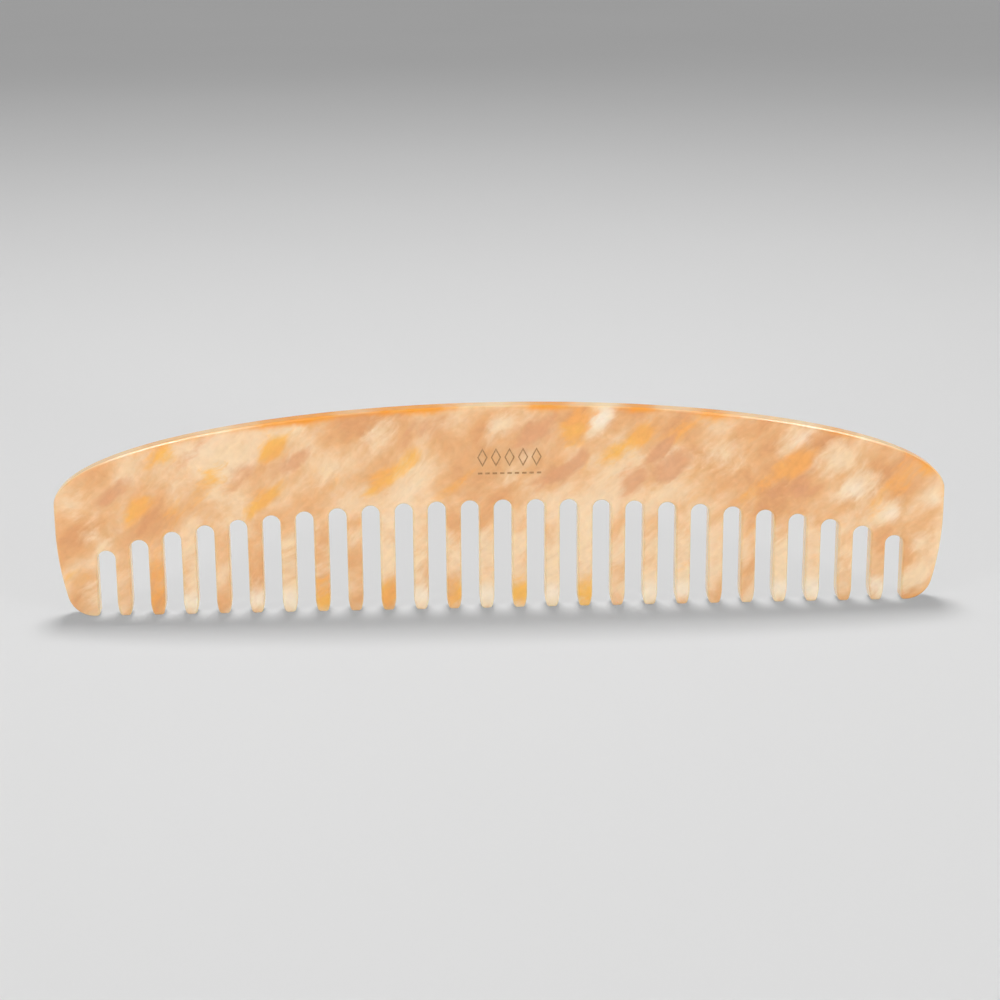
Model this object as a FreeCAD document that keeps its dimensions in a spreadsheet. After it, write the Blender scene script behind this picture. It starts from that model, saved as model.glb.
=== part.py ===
"""Wide tooth comb, made of one polished sheet of cellulose acetate with a foil mark.

Millimetres. X runs along the comb, Y through the sheet and Z up from the tooth tips
to the crown. The origin is on the tips' line, halfway along and halfway through.

The real comb is one sheet, sawn and polished. Here it is divided at the roots of its
teeth, so that every tooth is a plain bar and the slots between them are open:
  back                       the spine, with the rounded roots of all the slots
  tooth_01 ... tooth_24      the teeth, from left to right
  end_tooth_left, _right     the two broad teeth that close the row
  foil_mark                  the stamped ornament, sunk into the front of the back
"""
import FreeCAD
import Part

import math
import os

import Sketcher

X_AXIS, Y_AXIS = -1, -2       # a sketch's own axes, as its constraints count them
START, END, CENTRE = 1, 2, 3  # the points of a sketch line or arc
ORIGIN = (-1, 1)              # a sketch's own origin, as a constraint names it


# ---------------------------------------------------------------- driving sizes

SIZES = (
    ("overall_length", 182.0, "end to end"),
    ("overall_height", 43.0, "tooth tips to the top of the crown"),
    ("sheet_thickness", 4.0, "the sheet that the comb is sawn from"),
    ("widest_height", 23.7, "where the crown's half ellipse starts"),
    ("straight_height", 19.0, "where the ends start to curve in"),
    ("end_radius", 60.0, "curve of each end below its straight stretch"),
    ("toe_flat", 0.2, "flat bottom of an end tooth"),
    ("toe_inner_radius", 0.8, "bottom corner of an end tooth beside its slot"),
    ("slot_count", 25, "slots between the two end teeth"),
    ("slot_width", 3.65, "width that the slot cutter leaves"),
    ("end_tooth_width", 8.2, "an end tooth at its widest"),
    ("middle_slot_height", 23.2, "root of the middle slot"),
    ("arch_rise", 15.94, "half height of the ellipse that the roots follow"),
    ("arch_margin", 1.8, "from the comb's end to the end of that ellipse"),
    ("nose_radius", 0.75, "corner of a tooth tip"),
    ("nose_flat", 0.9, "blunt end of a tooth tip, between its corners"),
    ("tip_length", 3.1, "length over which a tooth narrows to its nose"),
    ("rim_radius", 0.6, "polished rounding of every rim"),
    ("mark_shift", 1.4, "centre of the mark, right of the comb's centre"),
    ("mark_drop", 1.6, "centre of the mark, under the middle of the back"),
    ("mark_depth", 0.12, "depth of the stamped recess"),
    ("foil_thickness", 0.05, "foil on the floor of the recess"),
    ("lozenge_count", 5, "open lozenges in the mark"),
    ("lozenge_width", 2.1, "a lozenge from corner to corner"),
    ("lozenge_height", 3.9, "a lozenge from foot to top"),
    ("lozenge_step", 2.75, "from one lozenge to the next"),
    ("lozenge_line", 0.25, "width of a lozenge's line"),
    ("dash_count", 9, "dashes under the lozenges"),
    ("dash_width", 0.9, "length of a dash"),
    ("dash_height", 0.4, "height of a dash"),
    ("dash_step", 1.5, "from one dash to the next"),
    ("dash_gap", 1.2, "between the lozenges and the dashes"),
)

WORKED_OUT = (
    ("half_length", "sizes.overall_length / 2"),
    ("crown_rise", "sizes.overall_height - sizes.widest_height"),
    ("slot_radius", "sizes.slot_width / 2"),
    ("slot_row", "sizes.overall_length - 2 * sizes.end_tooth_width - sizes.slot_width"),
    ("pitch", "slot_row / (sizes.slot_count - 1)"),
    ("tooth_width", "pitch - sizes.slot_width"),
    ("arch_half_span", "half_length - sizes.arch_margin"),
    # A tooth's nose is limited by the tooth, and the rims by the nose and the sheet.
    ("nose", "min(sizes.nose_radius; 0.3 * tooth_width)"),
    ("nose_side", "min(sizes.nose_flat / 2; 0.16 * tooth_width)"),
    ("rim", "min(sizes.rim_radius; 0.8 * nose; 0.3 * sizes.sheet_thickness)"),
    # The flank is the arc tangent to the tooth's side and to the corner of its nose.
    ("nose_reach", "tooth_width / 2 - nose_side"),
    ("flank_rise", "sizes.tip_length - nose"),
    ("flank_radius", "(flank_rise ^ 2 / (nose_reach - nose) + nose + nose_reach) / 2"),
    # The toe is the arc tangent to the comb's end and to the flat under the end tooth.
    ("end_centre", "half_length - sizes.end_radius"),
    ("end_inner_side", "half_length - sizes.end_tooth_width"),
    ("toe_centre", "end_inner_side + sizes.toe_inner_radius + sizes.toe_flat"),
    ("toe_reach", "toe_centre - end_centre"),
    ("toe_chord", "sizes.end_radius ^ 2 - toe_reach ^ 2 - sizes.straight_height ^ 2"),
    ("toe_radius", "toe_chord / (2 * (sizes.end_radius - sizes.straight_height))"),
    ("mark_height", "(sizes.middle_slot_height + sizes.overall_height) / 2 - sizes.mark_drop"),
    ("mark_half_height", "(sizes.lozenge_height + sizes.dash_gap + sizes.dash_height) / 2"),
    ("lozenge_row", "(sizes.lozenge_count - 1) * sizes.lozenge_step"),
    ("lozenge_centre", "mark_height + mark_half_height - sizes.lozenge_height / 2"),
    ("lozenge_slant", "sqrt(sizes.lozenge_width ^ 2 + sizes.lozenge_height ^ 2)"),
    ("lozenge_shrink", "2 * sizes.lozenge_line * lozenge_slant"),
    ("hole_width", "sizes.lozenge_width - lozenge_shrink / sizes.lozenge_height"),
    ("hole_height", "sizes.lozenge_height - lozenge_shrink / sizes.lozenge_width"),
    ("dash_row", "(sizes.dash_count - 1) * sizes.dash_step"),
    ("dash_centre", "mark_height - mark_half_height + sizes.dash_height / 2"),
)


def write_row(sheet, row, alias, content, note=""):
    """Write one named cell: its name in A, its content in B and what it is in C."""
    sheet.set(f"A{row}", alias)
    sheet.set(f"B{row}", content)
    sheet.set(f"C{row}", note)
    sheet.setAlias(f"B{row}", alias)


doc = FreeCAD.newDocument("wide_tooth_comb")

sizes = doc.addObject("Spreadsheet::Sheet", "sizes")
for row, (alias, size, note) in enumerate(SIZES, start=1):
    write_row(sizes, row, alias, str(size), note)

derived = doc.addObject("Spreadsheet::Sheet", "derived")
for row, (alias, formula) in enumerate(WORKED_OUT, start=1):
    write_row(derived, row, alias, "=" + formula)
doc.recompute()

SLOTS = range(1, int(sizes.slot_count) + 1)
TEETH = range(1, int(sizes.slot_count))


def slot_formulas(number):
    """Where a slot is: its centre, its root on the arch and the ends of its sides."""
    from_middle = number - (sizes.slot_count + 1) / 2
    centre = f"centre_{number:02d}"
    root = f"root_{number:02d}"
    sag = f"(1 - sqrt(1 - ({centre} / derived.arch_half_span) ^ 2))"
    return (
        (centre, f"{from_middle} * derived.pitch"),
        (root, f"sizes.middle_slot_height - sizes.arch_rise * {sag}"),
        (f"spring_{number:02d}", f"{root} - derived.slot_radius"),
    )


def tooth_formulas(number):
    """Where a tooth is: its axis and the level at which it leaves the back."""
    left = f"{number:02d}"
    right = f"{number + 1:02d}"
    return (
        (f"axis_{left}", f"(centre_{left} + centre_{right}) / 2"),
        (f"joint_{left}", f"min(spring_{left}; spring_{right})"),
    )


layout = doc.addObject("Spreadsheet::Sheet", "layout")
layout_rows = []
for number in SLOTS:
    layout_rows += slot_formulas(number)
for number in TEETH:
    layout_rows += tooth_formulas(number)
for row, (alias, formula) in enumerate(layout_rows, start=1):
    write_row(layout, row, alias, "=" + formula)
doc.recompute()

END_JOINT = "layout.spring_01"    # both end teeth leave the back at the first slot's sides


def value(name):
    """The number in a named cell, such as derived.pitch."""
    sheet_name, alias = name.split(".")
    return float(doc.getObject(sheet_name).get(alias))


# ---------------------------------------------------------------- sketch helpers

def vector(x, y):
    return FreeCAD.Vector(x, y, 0)


def new_sketch(body, name, x="0", y="0", out="0"):
    """A sketch on the body's upright plane: its X is the comb's X and its Y is Z.

    x and y move its origin, and out moves the plane towards the comb's front.
    """
    sketch = body.newObject("Sketcher::SketchObject", name)
    plane = next(item for item in body.Origin.OriginFeatures if item.Role == "XZ_Plane")
    sketch.AttachmentSupport = (plane, [""])
    sketch.MapMode = "FlatFace"
    for axis, expression in (("x", x), ("y", y), ("z", out)):
        sketch.setExpression(f"AttachmentOffset.Base.{axis}", expression)
    return sketch


def line(sketch, start, end):
    return sketch.addGeometry(Part.LineSegment(vector(*start), vector(*end)))


def arc(sketch, centre, radius, first_angle, last_angle):
    circle = Part.Circle(vector(*centre), FreeCAD.Vector(0, 0, 1), radius)
    return sketch.addGeometry(Part.ArcOfCircle(circle, first_angle, last_angle))


def constrain(sketch, *kind_and_points):
    sketch.addConstraint(Sketcher.Constraint(*kind_and_points))


def dimension(sketch, name, expression, kind, *points):
    """Add a driving dimension with a name of its own, bound to the sheets."""
    index = sketch.addConstraint(Sketcher.Constraint(kind, *points, value(expression)))
    sketch.renameConstraint(index, name)
    sketch.setExpression(f"Constraints.{name}", expression)


def join(sketch, kind, *pieces):
    """Join pieces end to end: each is (geometry, first point, last point)."""
    for (before, _, last), (after, first, _) in zip(pieces, pieces[1:]):
        constrain(sketch, kind, before, last, after, first)


def rectangle(sketch, width, height):
    """A rectangle of the two sizes, centred on the sketch's origin."""
    half_x = value(width) / 2
    half_y = value(height) / 2
    corners = ((-half_x, -half_y), (half_x, -half_y), (half_x, half_y), (-half_x, half_y))
    sides = [line(sketch, corners[i], corners[(i + 1) % 4]) for i in range(4)]
    join(sketch, "Coincident", *[(side, START, END) for side in sides + sides[:1]])
    constrain(sketch, "Horizontal", sides[0])
    constrain(sketch, "Horizontal", sides[2])
    constrain(sketch, "Vertical", sides[1])
    constrain(sketch, "Vertical", sides[3])
    constrain(sketch, "Symmetric", sides[0], START, sides[2], START, *ORIGIN)
    dimension(sketch, "width", width, "DistanceX", sides[0], START, sides[0], END)
    dimension(sketch, "height", height, "DistanceY", sides[1], START, sides[1], END)


def lozenge(sketch, name, width, height):
    """A lozenge of the two sizes, standing on its point round the sketch's origin."""
    half_x = value(width) / 2
    half_y = value(height) / 2
    corners = ((half_x, 0), (0, half_y), (-half_x, 0), (0, -half_y))
    sides = [line(sketch, corners[i], corners[(i + 1) % 4]) for i in range(4)]
    join(sketch, "Coincident", *[(side, START, END) for side in sides + sides[:1]])
    constrain(sketch, "PointOnObject", sides[0], START, X_AXIS)
    constrain(sketch, "PointOnObject", sides[1], START, Y_AXIS)
    constrain(sketch, "Symmetric", sides[0], START, sides[2], START, *ORIGIN)
    constrain(sketch, "Symmetric", sides[1], START, sides[3], START, *ORIGIN)
    dimension(sketch, f"{name}_width", width, "DistanceX", sides[2], START, sides[0], START)
    dimension(sketch, f"{name}_height", height, "DistanceY", sides[3], START, sides[1], START)


# ---------------------------------------------------------------- feature helpers

def pad_sheet(body, sketch):
    """Extrude a profile to the sheet's thickness, half to the front and half behind."""
    pad = body.newObject("PartDesign::Pad", "sheet")
    pad.Profile = sketch
    pad.SideType = "Symmetric"
    pad.setExpression("Length", "sizes.sheet_thickness")
    return pad


def cut_through(body, sketch):
    """Cut a profile right through the sheet."""
    pocket = body.newObject("PartDesign::Pocket", sketch.Name + "_cut")
    pocket.Profile = sketch
    pocket.SideType = "Symmetric"
    pocket.Type = "ThroughAll"
    return pocket


def is_rim(edge, half_thickness, joint_height):
    """Whether an edge bounds the front or rear face, away from the level of a joint."""
    box = edge.BoundBox
    on_face = abs(abs(box.YMin) - half_thickness) < 1e-4 and box.YLength < 1e-4
    on_joint = abs(box.ZMin - joint_height) < 1e-4 and box.ZLength < 1e-4
    return on_face and not on_joint


def round_rims(body, feature, joint):
    """Round every edge of the front and rear faces, except those on a joint."""
    doc.recompute()
    half_thickness = value("sizes.sheet_thickness") / 2
    edges = enumerate(feature.Shape.Edges, start=1)
    rims = [f"Edge{i}" for i, edge in edges if is_rim(edge, half_thickness, value(joint))]
    fillet = body.newObject("PartDesign::Fillet", "polished_rims")
    fillet.Base = (feature, rims)
    fillet.setExpression("Radius", "derived.rim")
    return fillet


def repeat(body, feature, sketch, count, step):
    """Repeat a feature to the right."""
    pattern = body.newObject("PartDesign::LinearPattern", feature.Name + "_row")
    pattern.Originals = [feature]
    pattern.Direction = (sketch, ["H_Axis"])
    pattern.Mode = "Spacing"
    pattern.setExpression("Offset", step)
    pattern.setExpression("Occurrences", count)
    body.Tip = pattern
    return pattern


# ---------------------------------------------------------------- back

def crown_outline(body):
    """The comb's outline from the end teeth's joints up: ends, shoulders and crown."""
    sketch = new_sketch(body, "crown_outline")
    half = value("derived.half_length")
    widest = value("sizes.widest_height")
    straight = value("sizes.straight_height")
    radius = value("sizes.end_radius")
    joint = value(END_JOINT)
    lean = math.asin((straight - joint) / radius)
    inset = radius - radius * math.cos(lean)

    ellipse = Part.Ellipse(vector(half, widest), vector(0, value("sizes.overall_height")),
                           vector(0, widest))
    crown = sketch.addGeometry(Part.ArcOfEllipse(ellipse, 0, math.pi))
    left_side = line(sketch, (-half, widest), (-half, straight))
    left_end = arc(sketch, (radius - half, straight), radius, math.pi, math.pi + lean)
    base = line(sketch, (inset - half, joint), (half - inset, joint))
    right_end = arc(sketch, (half - radius, straight), radius, -lean, 0)
    right_side = line(sketch, (half, straight), (half, widest))

    sketch.exposeInternalGeometry(crown)
    long_axis = right_side + 1
    short_axis = right_side + 2
    join(sketch, "Coincident", (crown, START, END), (left_side, START, END))
    join(sketch, "Tangent", (left_side, START, END), (left_end, START, END))
    join(sketch, "Coincident", (left_end, START, END), (base, START, END),
         (right_end, START, END))
    join(sketch, "Tangent", (right_end, START, END), (right_side, START, END))
    join(sketch, "Coincident", (right_side, START, END), (crown, START, END))
    constrain(sketch, "PointOnObject", crown, CENTRE, Y_AXIS)
    constrain(sketch, "Horizontal", long_axis)
    constrain(sketch, "Horizontal", base)
    constrain(sketch, "Vertical", left_side)
    constrain(sketch, "Vertical", right_side)
    constrain(sketch, "Equal", left_end, right_end)
    constrain(sketch, "Horizontal", left_side, START, right_side, END)
    constrain(sketch, "Horizontal", left_side, END, right_side, START)
    dimension(sketch, "length", "sizes.overall_length", "DistanceX",
              left_side, END, right_side, START)
    dimension(sketch, "widest", "sizes.widest_height", "DistanceY", *ORIGIN, crown, CENTRE)
    dimension(sketch, "rise", "derived.crown_rise", "DistanceY",
              crown, CENTRE, short_axis, START)
    dimension(sketch, "crown_foot", "sizes.widest_height", "DistanceY",
              *ORIGIN, left_side, START)
    dimension(sketch, "straight", "sizes.straight_height", "DistanceY",
              *ORIGIN, right_side, START)
    dimension(sketch, "end_radius", "sizes.end_radius", "Radius", left_end)
    dimension(sketch, "joint", END_JOINT, "DistanceY", *ORIGIN, base, START)
    return sketch


def slot_outline(body, number):
    """One slot: a round root and two straight sides that run out under the back."""
    sketch = new_sketch(body, f"slot_{number:02d}", x=f"layout.centre_{number:02d}")
    spring = f"layout.spring_{number:02d}"
    radius = value("derived.slot_radius")
    root = arc(sketch, (0, value(spring)), radius, 0, math.pi)
    left = line(sketch, (-radius, value(spring)), (-radius, 0))
    foot = line(sketch, (-radius, 0), (radius, 0))
    right = line(sketch, (radius, 0), (radius, value(spring)))
    join(sketch, "Tangent", (root, START, END), (left, START, END))
    join(sketch, "Coincident", (left, START, END), (foot, START, END), (right, START, END))
    join(sketch, "Tangent", (right, START, END), (root, START, END))
    constrain(sketch, "PointOnObject", root, CENTRE, Y_AXIS)
    constrain(sketch, "PointOnObject", foot, START, X_AXIS)
    constrain(sketch, "Horizontal", foot)
    constrain(sketch, "Vertical", left)
    constrain(sketch, "Vertical", right)
    dimension(sketch, "radius", "derived.slot_radius", "Radius", root)
    dimension(sketch, "spring", spring, "DistanceY", *ORIGIN, root, CENTRE)
    return sketch


def make_back():
    """The spine: crown and slot roots, polished, then cut off level above each tooth."""
    body = doc.addObject("PartDesign::Body", "spine")
    feature = pad_sheet(body, crown_outline(body))
    for number in SLOTS:
        feature = cut_through(body, slot_outline(body, number))
    round_rims(body, feature, END_JOINT)
    add_ornament(body, "PartDesign::Pocket", "sizes.sheet_thickness / 2", "sizes.mark_depth")

    bays = []
    for number in TEETH:
        bay = doc.addObject("Part::Box", f"bay_{number:02d}")
        bay.setExpression("Length", "derived.pitch")
        bay.setExpression("Width", "2 * sizes.sheet_thickness")
        bay.setExpression("Height", f"layout.joint_{number:02d}")
        bay.setExpression("Placement.Base.x", f"layout.centre_{number:02d}")
        bay.setExpression("Placement.Base.y", "-sizes.sheet_thickness")
        bays.append(bay)
    all_bays = doc.addObject("Part::MultiFuse", "all_bays")
    all_bays.Shapes = bays
    back = doc.addObject("Part::Cut", "back")
    back.Base = body
    back.Tool = all_bays
    return back


# ---------------------------------------------------------------- teeth

def tooth_outline(body, joint):
    """A bar with a narrowed, blunt tip, from the tips' line up to its joint."""
    sketch = new_sketch(body, "tooth_outline")
    half_width = value("derived.tooth_width") / 2
    nose_radius = value("derived.nose")
    nose_side = value("derived.nose_side")
    flank_radius = value("derived.flank_radius")
    tip_length = value("sizes.tip_length")
    top = value(joint)
    reach = flank_radius - half_width
    turn = math.atan2(value("derived.flank_rise"), reach + nose_side)

    shoulder = line(sketch, (-half_width, top), (half_width, top))
    right = line(sketch, (half_width, top), (half_width, tip_length))
    right_flank = arc(sketch, (-reach, tip_length), flank_radius, -turn, 0)
    right_corner = arc(sketch, (nose_side, nose_radius), nose_radius,
                       1.5 * math.pi, 2 * math.pi - turn)
    blunt = line(sketch, (nose_side, 0), (-nose_side, 0))
    left_corner = arc(sketch, (-nose_side, nose_radius), nose_radius,
                      math.pi + turn, 1.5 * math.pi)
    left_flank = arc(sketch, (reach, tip_length), flank_radius, math.pi, math.pi + turn)
    left = line(sketch, (-half_width, tip_length), (-half_width, top))

    join(sketch, "Coincident", (left, START, END), (shoulder, START, END),
         (right, START, END))
    join(sketch, "Tangent", (right, START, END), (right_flank, END, START),
         (right_corner, END, START), (blunt, START, END), (left_corner, END, START),
         (left_flank, END, START), (left, START, END))
    constrain(sketch, "Vertical", left)
    constrain(sketch, "Vertical", right)
    constrain(sketch, "PointOnObject", blunt, START, X_AXIS)
    constrain(sketch, "Symmetric", blunt, START, blunt, END, Y_AXIS)
    constrain(sketch, "Symmetric", shoulder, START, shoulder, END, Y_AXIS)
    constrain(sketch, "Equal", left_flank, right_flank)
    constrain(sketch, "Equal", left_corner, right_corner)
    dimension(sketch, "width", "derived.tooth_width", "DistanceX",
              shoulder, START, shoulder, END)
    dimension(sketch, "joint", joint, "DistanceY", *ORIGIN, shoulder, START)
    dimension(sketch, "nose", "derived.nose", "Radius", right_corner)
    dimension(sketch, "blunt", "derived.nose_side", "DistanceX", *ORIGIN, right_corner, CENTRE)
    dimension(sketch, "flank", "derived.flank_radius", "Radius", right_flank)
    return sketch


def make_tooth(number):
    """One tooth, drawn on its own axis and set in its place along the comb."""
    joint = f"layout.joint_{number:02d}"
    body = doc.addObject("PartDesign::Body", f"tooth_{number:02d}")
    body.setExpression("Placement.Base.x", f"layout.axis_{number:02d}")
    round_rims(body, pad_sheet(body, tooth_outline(body, joint)), joint)
    return body


def end_tooth_outline(body):
    """The right end tooth: a straight inner side, a round toe and the comb's end."""
    sketch = new_sketch(body, "end_tooth_outline")
    inner = value("derived.end_inner_side")
    joint = value(END_JOINT)
    end_radius = value("sizes.end_radius")
    end_centre = value("derived.end_centre")
    straight = value("sizes.straight_height")
    inner_radius = value("sizes.toe_inner_radius")
    toe_radius = value("derived.toe_radius")
    toe_centre = value("derived.toe_centre")
    lean = math.asin((straight - joint) / end_radius)
    turn = math.atan2(straight - toe_radius, toe_centre - end_centre)
    outer = end_centre + end_radius * math.cos(lean)

    shoulder = line(sketch, (outer, joint), (inner, joint))
    side = line(sketch, (inner, joint), (inner, inner_radius))
    corner = arc(sketch, (inner + inner_radius, inner_radius), inner_radius,
                 math.pi, 1.5 * math.pi)
    flat = line(sketch, (inner + inner_radius, 0), (toe_centre, 0))
    toe = arc(sketch, (toe_centre, toe_radius), toe_radius, -math.pi / 2, -turn)
    end = arc(sketch, (end_centre, straight), end_radius, -turn, -lean)

    join(sketch, "Coincident", (end, START, END), (shoulder, START, END), (side, START, END))
    join(sketch, "Tangent", (side, START, END), (corner, START, END), (flat, START, END),
         (toe, START, END), (end, START, END))
    constrain(sketch, "Horizontal", shoulder)
    constrain(sketch, "Vertical", side)
    constrain(sketch, "Horizontal", flat)
    constrain(sketch, "PointOnObject", flat, START, X_AXIS)
    dimension(sketch, "inner_side", "derived.end_inner_side", "DistanceX",
              *ORIGIN, side, START)
    dimension(sketch, "joint", END_JOINT, "DistanceY", *ORIGIN, side, START)
    dimension(sketch, "inner_radius", "sizes.toe_inner_radius", "Radius", corner)
    dimension(sketch, "toe_flat", "sizes.toe_flat", "DistanceX", flat, START, flat, END)
    dimension(sketch, "toe_radius", "derived.toe_radius", "Radius", toe)
    dimension(sketch, "end_radius", "sizes.end_radius", "Radius", end)
    dimension(sketch, "straight", "sizes.straight_height", "DistanceY", *ORIGIN, end, CENTRE)
    return sketch


def make_end_teeth():
    """The right end tooth as a body, and its mirror image for the left."""
    right = doc.addObject("PartDesign::Body", "end_tooth_right")
    round_rims(right, pad_sheet(right, end_tooth_outline(right)), END_JOINT)
    left = doc.addObject("Part::Mirroring", "end_tooth_left")
    left.Source = right
    left.Normal = FreeCAD.Vector(1, 0, 0)
    return [left, right]


# ---------------------------------------------------------------- mark

def add_ornament(body, kind, plane_out, depth):
    """A row of open lozenges over a row of dashes, as pads or pockets of one depth."""
    left_lozenge = "sizes.mark_shift - derived.lozenge_row / 2"
    lozenge_sketch = new_sketch(body, "lozenge", left_lozenge, "derived.lozenge_centre",
                                plane_out)
    lozenge(lozenge_sketch, "outer", "sizes.lozenge_width", "sizes.lozenge_height")
    lozenge(lozenge_sketch, "inner", "derived.hole_width", "derived.hole_height")
    left_dash = "sizes.mark_shift - derived.dash_row / 2"
    dash_sketch = new_sketch(body, "dash", left_dash, "derived.dash_centre", plane_out)
    rectangle(dash_sketch, "sizes.dash_width", "sizes.dash_height")

    rows = ((lozenge_sketch, "sizes.lozenge_count", "sizes.lozenge_step"),
            (dash_sketch, "sizes.dash_count", "sizes.dash_step"))
    for sketch, count, step in rows:
        feature = body.newObject(kind, sketch.Name + "_mark")
        feature.Profile = sketch
        feature.setExpression("Length", depth)
        doc.recompute()
        repeat(body, feature, sketch, count, step)


def make_foil_mark():
    """The foil that lies on the floor of the stamped recess."""
    body = doc.addObject("PartDesign::Body", "foil_mark")
    body.AllowCompound = True
    floor = "sizes.sheet_thickness / 2 - sizes.mark_depth"
    add_ornament(body, "PartDesign::Pad", floor, "sizes.foil_thickness")
    return body


# ---------------------------------------------------------------- build and check

nodes = [make_back()]
nodes += [make_tooth(number) for number in TEETH]
nodes += make_end_teeth()
nodes.append(make_foil_mark())
doc.recompute()

for item in doc.Objects:
    faults = {"Invalid", "Error"} & set(item.State)
    if faults:
        raise RuntimeError(f"{item.Name}: {sorted(faults)}")
    if item.TypeId == "Sketcher::SketchObject" and not item.FullyConstrained:
        raise RuntimeError(f"{item.Name} is not fully constrained")
    if item.TypeId == "PartDesign::Pocket":
        if item.Shape.Volume > item.BaseFeature.Shape.Volume - 1e-6:
            raise RuntimeError(f"{item.Name} cuts nothing")

for node in nodes:
    if node.Shape.isNull() or not node.Shape.isValid():
        raise RuntimeError(f"{node.Label} has no valid shape")

os.makedirs("parts", exist_ok=True)
for node in nodes:
    node.Shape.exportStep(f"parts/{node.Label}.step")
print(f"{len(nodes)} nodes, pitch {value('derived.pitch'):.3f} mm, "
      f"tooth {value('derived.tooth_width'):.3f} mm, toe {value('derived.toe_radius'):.2f} mm")
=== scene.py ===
# %% [markdown]
# # A wide tooth comb in polished acetate
#
# The comb is one flat piece of marbled cellulose acetate, sawn to shape and polished by
# hand, with a thin foil ornament stamped into its front. This lesson builds its surface
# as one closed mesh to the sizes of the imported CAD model, gives it a marbled, slightly
# translucent material and sets it on a pale floor in soft light. Everything is in metres,
# in the CAD model's own frame: X runs along the comb, Y through the sheet and Z up from
# the tips.

# %% Load the fixed frame
import math

import bpy
import bmesh
import numpy as np
from mathutils import Matrix, Vector, geometry, kdtree


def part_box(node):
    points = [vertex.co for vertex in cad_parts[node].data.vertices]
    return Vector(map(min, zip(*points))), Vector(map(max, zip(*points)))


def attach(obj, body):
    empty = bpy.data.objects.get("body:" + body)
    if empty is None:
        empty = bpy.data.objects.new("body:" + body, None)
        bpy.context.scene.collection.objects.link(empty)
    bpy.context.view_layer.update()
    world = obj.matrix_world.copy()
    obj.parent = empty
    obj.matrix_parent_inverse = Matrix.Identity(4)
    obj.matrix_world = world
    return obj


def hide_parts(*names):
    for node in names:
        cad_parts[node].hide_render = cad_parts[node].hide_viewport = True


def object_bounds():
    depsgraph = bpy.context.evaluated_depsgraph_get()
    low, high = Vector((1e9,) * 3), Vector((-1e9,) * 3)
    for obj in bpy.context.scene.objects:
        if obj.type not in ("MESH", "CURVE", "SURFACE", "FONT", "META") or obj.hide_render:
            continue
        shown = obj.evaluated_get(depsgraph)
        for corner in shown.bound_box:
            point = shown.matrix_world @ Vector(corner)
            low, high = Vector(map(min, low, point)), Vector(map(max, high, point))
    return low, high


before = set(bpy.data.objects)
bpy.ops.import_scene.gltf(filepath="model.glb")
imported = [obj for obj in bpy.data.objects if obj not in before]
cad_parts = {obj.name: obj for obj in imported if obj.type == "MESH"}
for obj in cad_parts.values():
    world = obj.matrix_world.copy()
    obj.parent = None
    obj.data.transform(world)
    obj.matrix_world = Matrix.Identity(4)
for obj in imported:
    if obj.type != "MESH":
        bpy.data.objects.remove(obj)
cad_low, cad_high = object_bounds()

MM = 0.001
print(f"CAD box {[round(v / MM, 2) for v in (cad_high - cad_low)]} mm")

# %% [markdown]
# ## The sizes
#
# The frame already holds most of them: the comb's box gives its length, height and
# thickness, and the boxes of the teeth give their places, their width and the levels at
# which they leave the back. What a box can't say is how the outline curves, so those
# radii and ellipses are named here, in millimetres, as the comb's maker would mark them
# on the template.

# %% Sizes from the frame, and the template's curves
TEETH = sorted(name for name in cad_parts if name.startswith("tooth_"))
tooth_boxes = [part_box(name) for name in TEETH]
tooth_axes = [(low.x + high.x) / 2 for low, high in tooth_boxes]

half_length = (cad_high.x - cad_low.x) / 2
height = cad_high.z
half_thickness = cad_high.y
pitch = (tooth_axes[-1] - tooth_axes[0]) / (len(TEETH) - 1)
half_tooth = (tooth_boxes[0][1].x - tooth_boxes[0][0].x) / 2
slot_radius = pitch / 2 - half_tooth
end_inner_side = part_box("end_tooth_right")[0].x
end_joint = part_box("end_tooth_right")[1].z

CROWN_FOOT = 23.7 * MM        # where the crown's half ellipse starts
STRAIGHT_FOOT = 19.0 * MM     # where the ends start to curve in
END_RADIUS = 60.0 * MM
TOE_FLAT = 0.2 * MM
TOE_INNER_RADIUS = 0.8 * MM
NOSE_SIDE = 0.45 * MM         # half of the blunt end of a tooth
NOSE_RADIUS = 0.75 * MM       # its corners
TIP_LENGTH = 3.1 * MM
ARCH_RISE = 15.94 * MM        # half height of the ellipse that the slot roots follow
ARCH_MARGIN = 1.8 * MM        # from the comb's end to that ellipse's end
ARCH_TOP = 23.2 * MM
RIM_RADIUS = 0.6 * MM

slot_centres = [tooth_axes[0] - pitch / 2 + pitch * i for i in range(len(TEETH) + 1)]
print(f"{len(TEETH)} teeth, pitch {pitch / MM:.3f} mm, slots {2 * slot_radius / MM:.2f} mm wide")

# %% [markdown]
# ## The arch of the slot roots
#
# On the real comb the roots of the slots lie on an arch that is nearly parallel to the
# crown, so that the back is about equally strong all along. Each root is a half circle
# cut by the saw's last turn. A list of 25 levels would do, but the arch is half of an
# ellipse, so one formula gives every level, and the CAD model's box for the end tooth
# shows whether it is the same arch.

# %% The level where a slot's root begins


def slot_spring(x):
    """Where a slot's straight sides end and its round root begins."""
    along = x / (half_length - ARCH_MARGIN)
    return ARCH_TOP - ARCH_RISE * (1 - math.sqrt(1 - along * along)) - slot_radius


print(f"end slot springs at {slot_spring(slot_centres[-1]) / MM:.3f} mm, "
      f"and the end tooth's box says {end_joint / MM:.3f} mm")

# %% [markdown]
# ## Straight runs and arcs
#
# A comb is a flat shape with a profile all round it, so its mesh starts from the outline.
# It could be traced with a bezier curve, but a curve's own bevel bulges at the tight noses
# of the teeth. Instead the outline is walked piece by piece, straight or arc, and every
# point keeps the direction that looks out of the material. Sliding a point against that
# direction gives an exact parallel outline, which is what a rounded rim needs.

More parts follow.
